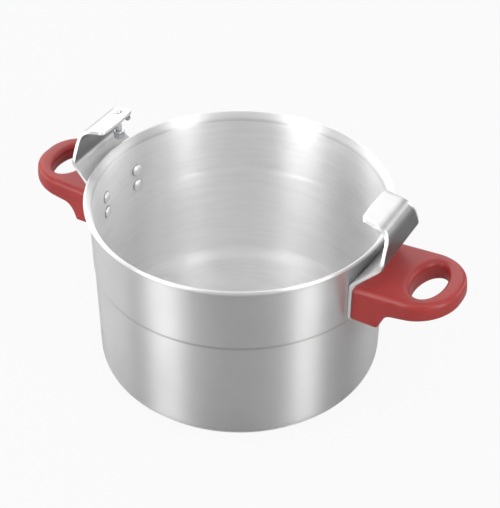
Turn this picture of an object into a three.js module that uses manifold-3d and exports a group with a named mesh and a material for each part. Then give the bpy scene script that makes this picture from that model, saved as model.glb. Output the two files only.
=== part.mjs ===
// Open pot of a pressure cooker: a spun pot, two riveted lid hooks and two loop handles.
// Millimetres, +Z up. The origin is the centre of the underside, and the handles lie along X.
import * as THREE from 'three';
import { mergeVertices } from 'three/addons/utils/BufferGeometryUtils.js';
import Module from 'manifold-3d';

const wasm = await Module();
wasm.setup();

// Clearances
const FIT_GAP = 0.3;
const PIN_CLEARANCE = 0.4;
const TAIL_CLEARANCE = 0.6;

// Pot
const WALL_RADIUS = 120.8;
const WALL_THICKNESS = 2.5;
const FLOOR_THICKNESS = 3.5;
const CORNER_RADIUS = 14;
const SHOULDER_HEIGHT = 98;
const SHOULDER_STEP = 0.8;
const SHOULDER_RISE = 3;
const COLLAR_HEIGHT = 60;
const LIP_FLARE = 4.2;
const LIP_HEIGHT = 9;

// Lid hooks, bent from one sheet: a mounting plate, a sloping ledge, an upright and a lip
const SHEET = 2.5;
const PLATE_WIDTH = 72;
const PLATE_RISE = 2;
const PLATE_HEIGHT = 40.5;
const PLATE_CORNER = 5;
const LEDGE_ANGLE = THREE.MathUtils.degToRad(45);
const HOOK_GAP = 16.5;
const HOOK_OVERHANG = 8.3;
const HOOK_TOP = 189;
const HOOK_LEAN = 4.8;
const HOOK_FOOT_WIDTH = 65;
const HOOK_FOOT_RISE = 2.1;
const HOOK_TAPER = 0.73;
const HOOK_CORNER = 12;
const HOOK_LIP_WIDTH = 43;
const LIP_RISE = 3.5;
const FOOT_BEND = 8;
const TOP_BEND = 6;
const LIP_CORNER = 4;
const STOP_TAB_WIDTH = 4.5;
const STOP_TAB_DROP = 11;

// Handles
const HANDLE_WIDTH = 72;
const HANDLE_GAP = 5.5;
const HANDLE_REACH = 70;
const HANDLE_TILT = THREE.MathUtils.degToRad(7);
const HANDLE_PIVOT = 20;
const HANDLE_END_RADIUS = 33;
const HANDLE_EDGE = 5;
const BASE_RISE = 2;
const BASE_DEPTH = 17;
const BASE_SWEEP = 9;
const BASE_SWEEP_START = 3;
const BASE_EDGE = 2;
const GRIP_THICKNESS = 20;
const TIP_THICKNESS = 14;
const FINGER_HOLE_WIDTH = 20;
const FINGER_HOLE_LENGTH = 44;
const GRIP_BAR = 14.5;

// Rivets through the pot wall and the mounting plate
const RIVET_SPACING = 48;
const RIVET_RISE = { upper: 26.8, lower: 11.6 };
const RIVET_SHANK = 5;
const RIVET_HEAD = 11;
const RIVET_HEAD_HEIGHT = 3;
const RIVET_TAIL = 8;
const RIVET_TAIL_HEIGHT = 1.4;

// Countersunk screws through the plate into threaded inserts in the handle
const SCREW_SPACING = 20;
const SCREW_RISE = 19;
const SCREW_SHANK = 4.8;
const SCREW_HEAD = 9;
const SCREW_HEAD_HEIGHT = 2.4;
const SCREW_LENGTH = 13;
const INSERT_DIAMETER = 7.5;
const INSERT_LENGTH = 11;

// Lock pin that hangs through the far end of the left hook's lip
const LOCK_RADIUS = 126;
const LOCK_OFFSET = 15;
const LOCK_SHANK = 5.5;
const LOCK_HEAD = 8;
const LOCK_HEAD_HEIGHT = 1.2;
const LOCK_SHARE = 0.873;
const LOCK_ROOM = 4;
const LOCK_WASHER = 9;
const LOCK_WASHER_THICKNESS = 1;
const LOCK_NUT = 9;
const LOCK_NUT_SHARE = 0.215;
const LOCK_TIP = 0.8;

// Facets
const POT_SEGMENTS = 72;
const ARC_SEGMENTS = 4;
const PROFILE_SEGMENTS = 3;
const ROUND_SEGMENTS = 12;
const PLATE_SEGMENTS = 12;
const EDGE_SEGMENTS = 3;
const BEND_SEGMENTS = 2 * ARC_SEGMENTS;
const PLAN_SEGMENTS = 9;

// Sizes that follow from the ones above
const LOWER_RADIUS = WALL_RADIUS - SHOULDER_STEP;
const INNER_RADIUS = WALL_RADIUS - WALL_THICKNESS;
const RIM_RADIUS = WALL_RADIUS + LIP_FLARE;
const POT_HEIGHT = SHOULDER_HEIGHT + COLLAR_HEIGHT;
const PLATE_BOTTOM = SHOULDER_HEIGHT + PLATE_RISE;
const LEDGE_HEIGHT = PLATE_BOTTOM + PLATE_HEIGHT;
const PLATE_INNER = WALL_RADIUS + FIT_GAP;
const PLATE_OUTER = PLATE_INNER + SHEET;
const PLATE_MIDDLE = PLATE_INNER + SHEET / 2;
const PLATE_SAG = PLATE_MIDDLE - Math.sqrt(PLATE_MIDDLE ** 2 - (PLATE_WIDTH / 2) ** 2);
const LOCK_NUT_CORNER = LOCK_NUT / 2 / Math.cos(Math.PI / 6);
const HOOK_REACH = Math.max(RIM_RADIUS + HOOK_GAP, LOCK_RADIUS + LOCK_NUT_CORNER + LOCK_ROOM + SHEET);
const HOOK_INNER_EDGE = Math.min(RIM_RADIUS - HOOK_OVERHANG, LOCK_RADIUS - LOCK_HEAD / 2 - LOCK_ROOM);
const UPRIGHT_MIDDLE = HOOK_REACH - SHEET / 2;
const UPRIGHT_TOP = UPRIGHT_MIDDLE - HOOK_LEAN;
const LIP_ANGLE = Math.atan2(LIP_RISE, UPRIGHT_TOP - HOOK_INNER_EDGE);
const LIP_MIDDLE = HOOK_TOP - SHEET / 2 * Math.cos(LIP_ANGLE);
const LIP_HALF = SHEET / 2 / Math.cos(LIP_ANGLE);
const LIP_UNDERSIDE = lipHeight(LOCK_RADIUS) - LIP_HALF;
const UPRIGHT_FOOT = LEDGE_HEIGHT + (UPRIGHT_MIDDLE - PLATE_MIDDLE) * Math.tan(LEDGE_ANGLE);
const LEDGE_UNDER_LOCK = LEDGE_HEIGHT + SHEET / 2 / Math.cos(LEDGE_ANGLE)
  + (LOCK_RADIUS + LOCK_NUT_CORNER - PLATE_MIDDLE) * Math.tan(LEDGE_ANGLE);
const LOCK_DROP = LOCK_SHARE * (LIP_UNDERSIDE - Math.max(POT_HEIGHT, LEDGE_UNDER_LOCK));
const LOCK_NUT_HEIGHT = LOCK_NUT_SHARE * LOCK_DROP;
const HANDLE_FACE = PLATE_OUTER + FIT_GAP;
const HANDLE_TIP = HANDLE_FACE + HANDLE_REACH;
const HANDLE_TOP = LEDGE_HEIGHT - HANDLE_GAP;
const GRIP_BOTTOM = HANDLE_TOP - GRIP_THICKNESS;
const BASE_BOTTOM = PLATE_BOTTOM + BASE_RISE;
const BASE_END = HANDLE_FACE + BASE_DEPTH;
const SCREW_HEIGHT = PLATE_BOTTOM + SCREW_RISE;
const SCREW_FACE = PLATE_INNER + FIT_GAP;
const INSERT_START = HANDLE_FACE + FIT_GAP;
const RIVET_ANGLE = Math.asin(RIVET_SPACING / 2 / WALL_RADIUS);

const MATERIALS = {
  aluminium: { color: 0xc9cacc, roughness: 0.28, metalness: 1 },
  steel: { color: 0xd3d4d6, roughness: 0.18, metalness: 1 },
  red: { color: 0x9c3335, roughness: 0.42, metalness: 0 },
  brass: { color: 0xb89a52, roughness: 0.35, metalness: 1 },
  zinc: { color: 0xaeb0b2, roughness: 0.35, metalness: 1 },
};

// The height of the middle of the lip's sheet at a distance from the pot's axis
function lipHeight(distance) {
  return LIP_MIDDLE - (distance - HOOK_INNER_EDGE) * Math.tan(LIP_ANGLE);
}

// A closed geometry as a solid that can be joined and cut
function solid(geometry) {
  const bare = geometry.index ? geometry.toNonIndexed() : geometry.clone();
  bare.deleteAttribute('normal');
  bare.deleteAttribute('uv');
  const merged = mergeVertices(bare, 1e-4);
  const mesh = new wasm.Mesh({
    numProp: 3,
    vertProperties: new Float32Array(merged.attributes.position.array),
    triVerts: new Uint32Array(merged.index.array),
  });
  mesh.merge();
  return new wasm.Manifold(mesh);
}

// A solid as a named mesh of the scene
function piece(name, body, material) {
  const result = body.getMesh();
  const geometry = new THREE.BufferGeometry();
  geometry.setAttribute('position', new THREE.BufferAttribute(result.vertProperties, 3));
  geometry.setIndex(new THREE.BufferAttribute(result.triVerts, 1));
  geometry.computeVertexNormals();
  const mesh = new THREE.Mesh(geometry, new THREE.MeshStandardMaterial(MATERIALS[material]));
  mesh.name = name;
  return mesh;
}

// A profile in radius and height, turned about Z
function turned(points, segments) {
  const geometry = new THREE.LatheGeometry(points, segments);
  geometry.rotateX(Math.PI / 2);
  return solid(geometry);
}

// A profile in radius and distance, turned about X
function turnedAlongX(points, segments = ROUND_SEGMENTS) {
  const geometry = new THREE.LatheGeometry(points, segments);
  geometry.rotateZ(-Math.PI / 2);
  return solid(geometry);
}

// A plain cylinder between two heights, upright
function column(diameter, bottom, top, segments = ROUND_SEGMENTS) {
  const geometry = new THREE.CylinderGeometry(diameter / 2, diameter / 2, top - bottom, segments);
  geometry.rotateX(Math.PI / 2);
  geometry.translate(0, 0, (bottom + top) / 2);
  return solid(geometry);
}

// A plain cylinder between two distances along X
function rod(diameter, start, end) {
  const geometry = new THREE.CylinderGeometry(diameter / 2, diameter / 2, end - start, ROUND_SEGMENTS);
  geometry.rotateZ(-Math.PI / 2);
  geometry.translate((start + end) / 2, 0, 0);
  return solid(geometry);
}

// A shape drawn in plan and raised between two heights
function raised(shape, bottom, top) {
  const geometry = new THREE.ExtrudeGeometry(shape, {
    depth: top - bottom, bevelEnabled: false, curveSegments: POT_SEGMENTS / 4,
  });
  geometry.translate(0, 0, bottom);
  return solid(geometry);
}

// A shape drawn as a side view in X and Z, spread evenly to both sides along Y
function spread(shape, width, edge = 0) {
  const geometry = new THREE.ExtrudeGeometry(shape, {
    depth: width - 2 * edge, bevelEnabled: edge > 0, bevelSize: edge, bevelThickness: edge,
    bevelOffset: -edge, bevelSegments: EDGE_SEGMENTS - 1, curveSegments: ARC_SEGMENTS,
  });
  geometry.translate(0, 0, edge - width / 2);
  geometry.rotateX(Math.PI / 2);
  return solid(geometry);
}

// A shape drawn as a front view in Y and Z, pushed along X between two distances
function pushed(shape, start, end) {
  const geometry = new THREE.ExtrudeGeometry(shape, {
    depth: end - start, bevelEnabled: false, curveSegments: BEND_SEGMENTS,
  });
  const alongX = new THREE.Matrix4().makeBasis(
    new THREE.Vector3(0, 1, 0), new THREE.Vector3(0, 0, 1), new THREE.Vector3(1, 0, 0));
  geometry.applyMatrix4(alongX);
  geometry.translate(start, 0, 0);
  return solid(geometry);
}

// The points of a line whose corners are rounded, each corner being a point and a radius
function roundedLine(corners) {
  const points = [corners[0].at];
  for (let i = 1; i < corners.length - 1; i += 1) {
    const { at, radius } = corners[i];
    const back = corners[i - 1].at.clone().sub(at).normalize();
    const ahead = corners[i + 1].at.clone().sub(at).normalize();
    const half = back.angleTo(ahead) / 2;
    const reach = radius / Math.tan(half);
    const curve = new THREE.QuadraticBezierCurve(
      at.clone().addScaledVector(back, reach), at, at.clone().addScaledVector(ahead, reach));
    points.push(...curve.getPoints(ARC_SEGMENTS));
  }
  points.push(corners.at(-1).at);
  return points;
}

// A line given an even thickness, as a closed shape
function ribbon(points, thickness) {
  const sides = points.map((point, i) => {
    const before = points[Math.max(i - 1, 0)];
    const after = points[Math.min(i + 1, points.length - 1)];
    const along = after.clone().sub(before).normalize();
    return new THREE.Vector2(-along.y, along.x).multiplyScalar(thickness / 2);
  });
  const left = points.map((point, i) => point.clone().add(sides[i]));
  const right = points.map((point, i) => point.clone().sub(sides[i]));
  return new THREE.Shape([...right, ...left.reverse()]);
}

function potBody() {
  const lower = LOWER_RADIUS;
  const innerCorner = CORNER_RADIUS - WALL_THICKNESS;
  const innerLower = lower - WALL_THICKNESS;
  const innerBend = FLOOR_THICKNESS + innerCorner;
  const shoulderTop = SHOULDER_HEIGHT + SHOULDER_RISE;
  const flareStart = POT_HEIGHT - LIP_HEIGHT;
  const flareMiddle = flareStart + LIP_HEIGHT / 2;
  const edge = WALL_THICKNESS / 2;
  const edgeRadius = RIM_RADIUS - edge;
  const edgeHeight = POT_HEIGHT - edge;
  const slant = edge * Math.SQRT1_2;

  const profile = new THREE.Path();
  profile.moveTo(0, 0);
  profile.lineTo(lower - CORNER_RADIUS, 0);
  profile.absarc(lower - CORNER_RADIUS, CORNER_RADIUS, CORNER_RADIUS, -Math.PI / 2, 0, false);
  profile.lineTo(lower, SHOULDER_HEIGHT);
  profile.lineTo(WALL_RADIUS, shoulderTop);
  profile.lineTo(WALL_RADIUS, flareStart);
  profile.quadraticCurveTo(WALL_RADIUS, flareMiddle, edgeRadius + slant, edgeHeight - slant);
  profile.absarc(edgeRadius, edgeHeight, edge, -Math.PI / 4, Math.PI * 3 / 4, false);
  profile.quadraticCurveTo(INNER_RADIUS, flareMiddle, INNER_RADIUS, flareStart);
  profile.lineTo(INNER_RADIUS, shoulderTop);
  profile.lineTo(innerLower, SHOULDER_HEIGHT);
  profile.lineTo(innerLower, innerBend);
  profile.absarc(innerLower - innerCorner, innerBend, innerCorner, 0, -Math.PI / 2, true);
  profile.lineTo(0, FLOOR_THICKNESS);
  const shell = turned(profile.getPoints(PROFILE_SEGMENTS), POT_SEGMENTS);

  const drill = rod(RIVET_SHANK + 2 * FIT_GAP, INNER_RADIUS - WALL_THICKNESS, PLATE_INNER);
  const holes = rivetPlaces().flatMap(({ angle, height }) => [angle, angle + Math.PI].map(
    (turn) => drill.rotate([0, 0, THREE.MathUtils.radToDeg(turn)]).translate([0, 0, height])));
  return holes.reduce((body, hole) => body.subtract(hole), shell);
}

// Where the four rivets of one side sit, as an angle about the pot and a height
function rivetPlaces() {
  return Object.entries(RIVET_RISE).flatMap(([row, rise]) => [
    { label: `${row}_a`, angle: -RIVET_ANGLE, height: PLATE_BOTTOM + rise },
    { label: `${row}_b`, angle: RIVET_ANGLE, height: PLATE_BOTTOM + rise },
  ]);
}

function screwPlaces() {
  return [
    { label: 'a', offset: -SCREW_SPACING / 2 },
    { label: 'b', offset: SCREW_SPACING / 2 },
  ];
}

// The curved plate that lies against the pot wall
function mountingPlate() {
  const half = Math.asin(PLATE_WIDTH / 2 / PLATE_OUTER) + SHEET / PLATE_OUTER;
  const outline = new THREE.Shape();
  for (let i = 0; i <= PLATE_SEGMENTS; i += 1) {
    const angle = -half + 2 * half * i / PLATE_SEGMENTS;
    const point = new THREE.Vector2(PLATE_OUTER, 0).rotateAround(new THREE.Vector2(), angle);
    if (i === 0) outline.moveTo(point.x, point.y);
    else outline.lineTo(point.x, point.y);
  }
  for (let i = PLATE_SEGMENTS; i >= 0; i -= 1) {
    const angle = -half + 2 * half * i / PLATE_SEGMENTS;
    const point = new THREE.Vector2(PLATE_INNER, 0).rotateAround(new THREE.Vector2(), angle);
    outline.lineTo(point.x, point.y);
  }
  return raised(outline, PLATE_BOTTOM, LEDGE_HEIGHT);
}

// The sheet's outline seen from outside the pot
function hookOutline() {
  const plate = PLATE_WIDTH / 2;
  const foot = HOOK_FOOT_WIDTH / 2;
  const lip = HOOK_LIP_WIDTH / 2;
  const taperStart = LEDGE_HEIGHT - PLATE_SAG;
  const shoulder = UPRIGHT_FOOT + HOOK_FOOT_RISE;
  const taperEnd = shoulder + HOOK_TAPER * (HOOK_TOP - shoulder);
  const corner = Math.min(HOOK_CORNER, (taperEnd - shoulder) / 2);
  const edge = roundedLine([
    { at: new THREE.Vector2(plate, taperStart) },
    { at: new THREE.Vector2(foot, shoulder), radius: corner },
    { at: new THREE.Vector2(lip, taperEnd), radius: corner },
    { at: new THREE.Vector2(lip, HOOK_TOP + SHEET) },
  ]);
  const outline = new THREE.Shape();
  outline.moveTo(-plate, PLATE_BOTTOM + PLATE_CORNER);
  const cornerY = plate - PLATE_CORNER;
  const cornerZ = PLATE_BOTTOM + PLATE_CORNER;
  outline.absarc(-cornerY, cornerZ, PLATE_CORNER, Math.PI, Math.PI * 1.5, false);
  outline.absarc(cornerY, cornerZ, PLATE_CORNER, -Math.PI / 2, 0, false);
  for (const point of edge) outline.lineTo(point.x, point.y);
  for (const point of edge.reverse()) outline.lineTo(-point.x, point.y);
  return outline;
}

// What is cut from a square corner of the lip, at its inner edge, to round it
function lipCornerCut(side) {
  const corner = new THREE.Vector2(HOOK_INNER_EDGE, side * HOOK_LIP_WIDTH / 2);
  const outline = new THREE.Shape();
  outline.moveTo(corner.x + LIP_CORNER, corner.y);
  outline.quadraticCurveTo(corner.x, corner.y, corner.x, corner.y - side * LIP_CORNER);
  outline.lineTo(corner.x - LIP_CORNER, corner.y - side * LIP_CORNER);
  outline.lineTo(corner.x - LIP_CORNER, corner.y + side * LIP_CORNER);
  outline.lineTo(corner.x + LIP_CORNER, corner.y + side * LIP_CORNER);
  return raised(outline, LIP_UNDERSIDE - SHEET, HOOK_TOP + SHEET);
}

// The end of the lip turned down beside the lock pin
function stopTab() {
  const start = HOOK_INNER_EDGE + LIP_CORNER / 2;
  const top = lipHeight(start + STOP_TAB_WIDTH) + SHEET / 2;
  const geometry = new THREE.BoxGeometry(STOP_TAB_WIDTH, SHEET, STOP_TAB_DROP);
  geometry.translate(start + STOP_TAB_WIDTH / 2, -HOOK_LIP_WIDTH / 2, top - STOP_TAB_DROP / 2);
  return solid(geometry);
}

function lidHook(withLock) {
  const start = PLATE_MIDDLE - PLATE_SAG - SHEET;
  const bendHeight = lipHeight(UPRIGHT_TOP);
  const upright = bendHeight - UPRIGHT_FOOT;
  const line = roundedLine([
    { at: new THREE.Vector2(start, LEDGE_HEIGHT + (start - PLATE_MIDDLE) * Math.tan(LEDGE_ANGLE)) },
    { at: new THREE.Vector2(UPRIGHT_MIDDLE, UPRIGHT_FOOT), radius: Math.min(FOOT_BEND, upright / 2) },
    { at: new THREE.Vector2(UPRIGHT_TOP, bendHeight), radius: Math.min(TOP_BEND, upright / 2) },
    { at: new THREE.Vector2(HOOK_INNER_EDGE, LIP_MIDDLE) },
  ]);
  const sheet = spread(ribbon(line, SHEET), PLATE_WIDTH).add(mountingPlate());
  const potRoom = column(2 * PLATE_INNER, 0, POT_HEIGHT, POT_SEGMENTS);
  let body = sheet.intersect(pushed(hookOutline(), 0, 2 * HOOK_REACH)).subtract(potRoom);
  for (const side of [-1, 1]) body = body.subtract(lipCornerCut(side));

  const rivetHole = rod(RIVET_SHANK + 2 * FIT_GAP, PLATE_INNER - SHEET, PLATE_OUTER + SHEET);
  for (const { angle, height } of rivetPlaces()) {
    const hole = rivetHole.rotate([0, 0, THREE.MathUtils.radToDeg(angle)]).translate([0, 0, height]);
    body = body.subtract(hole);
  }
  for (const { offset } of screwPlaces()) {
    body = body.subtract(screw(FIT_GAP).translate([0, offset, SCREW_HEIGHT]));
  }
  if (!withLock) return body;
  const pinHole = column(LOCK_SHANK + 2 * PIN_CLEARANCE, LIP_UNDERSIDE - SHEET, HOOK_TOP + SHEET);
  return body.add(stopTab()).subtract(pinHole.translate([LOCK_RADIUS, -LOCK_OFFSET, 0]));
}

// A countersunk screw along X, grown all round by a clearance when it is used as a cutter
function screw(clearance = 0) {
  const face = SCREW_FACE - 2 * clearance;
  const neck = SCREW_FACE + SCREW_HEAD_HEIGHT;
  return turnedAlongX([
    new THREE.Vector2(0, face),
    new THREE.Vector2(SCREW_HEAD / 2 + clearance, face),
    new THREE.Vector2(SCREW_HEAD / 2 + clearance, SCREW_FACE + clearance),
    new THREE.Vector2(SCREW_SHANK / 2 + clearance, neck + clearance),
    new THREE.Vector2(SCREW_SHANK / 2 + clearance, neck + SCREW_LENGTH + clearance),
    new THREE.Vector2(0, neck + SCREW_LENGTH + clearance),
  ]);
}

// A threaded insert, shown with a plain bore
function insert() {
  const outer = INSERT_DIAMETER / 2;
  const bore = SCREW_SHANK / 2 + FIT_GAP;
  const end = INSERT_START + INSERT_LENGTH;
  return turnedAlongX([
    new THREE.Vector2(bore, INSERT_START),
    new THREE.Vector2(outer, INSERT_START),
    new THREE.Vector2(outer, end),
    new THREE.Vector2(bore, end),
    new THREE.Vector2(bore, INSERT_START),
  ]);
}

// The radius of the pot's inner face at a height, below, on or above the shoulder
function innerFace(height) {
  const share = THREE.MathUtils.clamp((height - SHOULDER_HEIGHT) / SHOULDER_RISE, 0, 1);
  return INNER_RADIUS - SHOULDER_STEP * (1 - share);
}

// A rivet along X: a domed head inside the pot, a shank and a flat tail behind the plate
function rivet(height) {
  const headBase = innerFace(height - RIVET_HEAD / 2) - FIT_GAP;
  const tailBase = PLATE_OUTER + FIT_GAP;
  const dome = new THREE.QuadraticBezierCurve(
    new THREE.Vector2(0, headBase - RIVET_HEAD_HEIGHT),
    new THREE.Vector2(RIVET_HEAD / 2, headBase - RIVET_HEAD_HEIGHT),
    new THREE.Vector2(RIVET_HEAD / 2, headBase));
  return turnedAlongX([
    ...dome.getPoints(ARC_SEGMENTS),
    new THREE.Vector2(RIVET_SHANK / 2, headBase),
    new THREE.Vector2(RIVET_SHANK / 2, tailBase),
    new THREE.Vector2(RIVET_TAIL / 2, tailBase),
    new THREE.Vector2(RIVET_TAIL / 2, tailBase + RIVET_TAIL_HEIGHT),
    new THREE.Vector2(0, tailBase + RIVET_TAIL_HEIGHT),
  ]);
}

// The handle seen from above, with its finger hole
function handlePlan() {
  const half = HANDLE_WIDTH / 2;
  const root = HANDLE_FACE - BASE_DEPTH;
  const endRadius = Math.min(HANDLE_END_RADIUS, half - FIT_GAP);
  const turnX = HANDLE_TIP - endRadius;
  const turnY = half - endRadius;
  const plan = new THREE.Shape();
  plan.moveTo(root, -half);
  plan.lineTo(turnX, -half);
  plan.absarc(turnX, -turnY, endRadius, -Math.PI / 2, 0, false);
  plan.absarc(turnX, turnY, endRadius, 0, Math.PI / 2, false);
  plan.lineTo(root, half);
  const hole = new THREE.Path();
  const holeMiddle = HANDLE_TIP - GRIP_BAR - FINGER_HOLE_WIDTH / 2;
  hole.absellipse(holeMiddle, 0, FINGER_HOLE_WIDTH / 2, FINGER_HOLE_LENGTH / 2, 0, Math.PI * 2, true);
  plan.holes.push(hole);
  return plan;
}

// Thins a geometry along X, by a share of its height for each millimetre
function thin(geometry, rate) {
  const place = geometry.attributes.position;
  for (let i = 0; i < place.count; i += 1) place.setZ(i, place.getZ(i) * (1 + rate * place.getX(i)));
}

function handle() {
  const gripGeometry = new THREE.ExtrudeGeometry(handlePlan(), {
    depth: GRIP_THICKNESS - 2 * HANDLE_EDGE, bevelEnabled: true, bevelSize: HANDLE_EDGE,
    bevelThickness: HANDLE_EDGE, bevelOffset: -HANDLE_EDGE, bevelSegments: EDGE_SEGMENTS,
    curveSegments: PLAN_SEGMENTS,
  });
  const pivot = HANDLE_FACE + HANDLE_PIVOT;
  const gripMiddle = GRIP_BOTTOM + GRIP_THICKNESS / 2;
  gripGeometry.translate(-pivot, 0, HANDLE_EDGE - GRIP_THICKNESS / 2);
  thin(gripGeometry, (TIP_THICKNESS / GRIP_THICKNESS - 1) / (HANDLE_TIP - pivot));
  gripGeometry.rotateY(-HANDLE_TILT);
  gripGeometry.translate(pivot, 0, gripMiddle);

  const root = HANDLE_FACE - BASE_DEPTH;
  const baseTop = HANDLE_TOP - HANDLE_EDGE;
  const base = new THREE.Shape();
  base.moveTo(root, BASE_BOTTOM);
  base.lineTo(BASE_END, BASE_BOTTOM);
  base.quadraticCurveTo(
    BASE_END + BASE_SWEEP_START, GRIP_BOTTOM, BASE_END + BASE_SWEEP, GRIP_BOTTOM + BASE_EDGE);
  base.lineTo(BASE_END + BASE_SWEEP, baseTop);
  base.lineTo(root, baseTop);

  const potRoom = column(2 * HANDLE_FACE, 0, POT_HEIGHT, POT_SEGMENTS);
  let body = solid(gripGeometry).add(spread(base, HANDLE_WIDTH, BASE_EDGE)).subtract(potRoom);

  const tailEnd = PLATE_OUTER + FIT_GAP + RIVET_TAIL_HEIGHT;
  const tailPocket = rod(RIVET_TAIL + 2 * TAIL_CLEARANCE, PLATE_INNER, tailEnd + TAIL_CLEARANCE);
  for (const { angle, height } of rivetPlaces()) {
    const pocket = tailPocket.rotate([0, 0, THREE.MathUtils.radToDeg(angle)]).translate([0, 0, height]);
    body = body.subtract(pocket);
  }
  const insertEnd = INSERT_START + INSERT_LENGTH;
  const screwEnd = SCREW_FACE + SCREW_HEAD_HEIGHT + SCREW_LENGTH;
  const insertPocket = rod(INSERT_DIAMETER + 2 * FIT_GAP, PLATE_INNER, insertEnd + FIT_GAP);
  const screwTipPocket = rod(SCREW_SHANK + 2 * FIT_GAP, PLATE_INNER, screwEnd + FIT_GAP);
  const screwPocket = insertPocket.add(screwTipPocket);
  for (const { offset } of screwPlaces()) {
    body = body.subtract(screwPocket.translate([0, offset, SCREW_HEIGHT]));
  }
  return body;
}

// The lock pin: a low head on the lip and a shank that hangs through it
function lockPin() {
  const headBase = lipHeight(LOCK_RADIUS - LOCK_HEAD / 2) + LIP_HALF + FIT_GAP;
  const tip = LIP_UNDERSIDE - LOCK_DROP;
  const shank = LOCK_SHANK / 2;
  return turned([
    new THREE.Vector2(0, tip),
    new THREE.Vector2(shank - LOCK_TIP, tip),
    new THREE.Vector2(shank, tip + LOCK_TIP),
    new THREE.Vector2(shank, headBase),
    new THREE.Vector2(LOCK_HEAD / 2, headBase),
    new THREE.Vector2(LOCK_HEAD / 2 - LOCK_TIP, headBase + LOCK_HEAD_HEIGHT),
    new THREE.Vector2(0, headBase + LOCK_HEAD_HEIGHT),
  ], ROUND_SEGMENTS);
}

// A ring with straight sides, upright, round unless a number of facets is given
function ring(outer, bore, bottom, height, facets = ROUND_SEGMENTS) {
  const blank = column(outer, bottom, bottom + height, facets);
  return blank.subtract(column(bore, bottom - height, bottom + 2 * height));
}

function lockPieces() {
  const bore = LOCK_SHANK + 2 * FIT_GAP;
  const nutBottom = LIP_UNDERSIDE - LOCK_DROP + LOCK_TIP;
  const washerBottom = nutBottom + LOCK_NUT_HEIGHT + FIT_GAP;
  const pieces = [
    piece('lock_pin', lockPin(), 'steel'),
    piece('lock_nut', ring(2 * LOCK_NUT_CORNER, bore, nutBottom, LOCK_NUT_HEIGHT, 6), 'zinc'),
    piece('lock_washer', ring(LOCK_WASHER, bore, washerBottom, LOCK_WASHER_THICKNESS), 'zinc'),
  ];
  for (const mesh of pieces) mesh.position.set(LOCK_RADIUS, -LOCK_OFFSET, 0);
  return pieces;
}

// One side of the pot, drawn on +X: the hook, the handle and what fastens them
function side(name, withLock) {
  const group = new THREE.Group();
  group.add(piece(`hook_${name}`, lidHook(withLock), 'steel'));
  group.add(piece(`handle_${name}`, handle(), 'red'));
  for (const { label, angle, height } of rivetPlaces()) {
    const mesh = piece(`rivet_${name}_${label}`, rivet(height), 'aluminium');
    mesh.rotation.z = angle;
    mesh.position.z = height;
    group.add(mesh);
  }
  for (const { label, offset } of screwPlaces()) {
    const screwMesh = piece(`screw_${name}_${label}`, screw(), 'zinc');
    const insertMesh = piece(`insert_${name}_${label}`, insert(), 'brass');
    for (const mesh of [screwMesh, insertMesh]) {
      mesh.position.set(0, offset, SCREW_HEIGHT);
      group.add(mesh);
    }
  }
  if (withLock) group.add(...lockPieces());
  return group;
}

const cooker = new THREE.Group();
cooker.add(piece('pot', potBody(), 'aluminium'));
cooker.add(side('right', false));
const left = side('left', true);
left.rotation.z = Math.PI;
cooker.add(left);

export default cooker;
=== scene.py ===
"""Open pot of a pressure cooker: a turned aluminium pot, bent lid hooks, loop handles and a lock pin.

Metres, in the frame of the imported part: the pot stands on Z = 0 and the handles lie along X.
"""
import math

import bmesh
import bpy
from mathutils import Matrix, Vector


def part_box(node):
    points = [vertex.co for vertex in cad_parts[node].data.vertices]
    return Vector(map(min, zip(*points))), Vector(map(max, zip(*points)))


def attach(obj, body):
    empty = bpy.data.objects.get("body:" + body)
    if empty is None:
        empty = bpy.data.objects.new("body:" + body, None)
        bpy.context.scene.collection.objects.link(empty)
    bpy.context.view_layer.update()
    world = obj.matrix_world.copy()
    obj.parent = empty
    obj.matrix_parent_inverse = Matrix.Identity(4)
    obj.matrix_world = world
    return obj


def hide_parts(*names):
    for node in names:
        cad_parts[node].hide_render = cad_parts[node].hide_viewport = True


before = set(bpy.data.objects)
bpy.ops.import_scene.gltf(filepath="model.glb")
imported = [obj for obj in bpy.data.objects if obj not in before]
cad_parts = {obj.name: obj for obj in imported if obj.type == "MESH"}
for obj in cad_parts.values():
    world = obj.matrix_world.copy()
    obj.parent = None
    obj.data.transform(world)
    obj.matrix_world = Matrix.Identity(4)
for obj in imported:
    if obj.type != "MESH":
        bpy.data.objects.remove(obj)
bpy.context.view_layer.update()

bl_info = {
    "name": "Pressure cooker pot",
    "version": (1, 0, 0),
    "blender": (4, 5, 0),
    "location": "View3D > Sidebar > Cooker",
    "description": "Builds the open pot of a pressure cooker around its packed solids",
    "category": "Object",
}

MM = 0.001
GAP = 0.3 * MM  # between pieces that are clenched or screwed together
WELD = 1e-6  # points closer than this are merged
SHARP = math.radians(40.0)  # edges that bend more are shaded sharp
POT_SEGMENTS = 192
SMALL_SEGMENTS = 48
FIXING_SEGMENTS = 40
SIDES = {"right": 0.0, "left": math.pi}

POT_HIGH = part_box("pot")[1]
HOOK_LOW, HOOK_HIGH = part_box("hook_right")
HANDLE_LOW, HANDLE_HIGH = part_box("handle_right")
PIN_LOW, PIN_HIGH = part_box("lock_pin")
NUT_LOW, NUT_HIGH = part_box("lock_nut")
WASHER_LOW, WASHER_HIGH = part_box("lock_washer")
RIVET_LOW, RIVET_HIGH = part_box("rivet_right_lower_b")
UPPER_RIVET_LOW, UPPER_RIVET_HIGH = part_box("rivet_right_upper_b")
SCREW_LOW, SCREW_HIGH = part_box("screw_right_b")
INSERT_LOW, INSERT_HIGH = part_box("insert_right_b")

RIM_RADIUS = POT_HIGH.x
POT_HEIGHT = POT_HIGH.z
LOCK_MIDDLE = (PIN_LOW + PIN_HIGH) / 2
WHITE = (1.0, 1.0, 1.0, 1.0)


# Node trees


def math_method(operation, reflected=False):
    """A method that answers one of Python's operators with a Math node."""

    def method(self, other):
        return self.graph.math(operation, *((other, self) if reflected else (self, other)))

    return method


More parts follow.
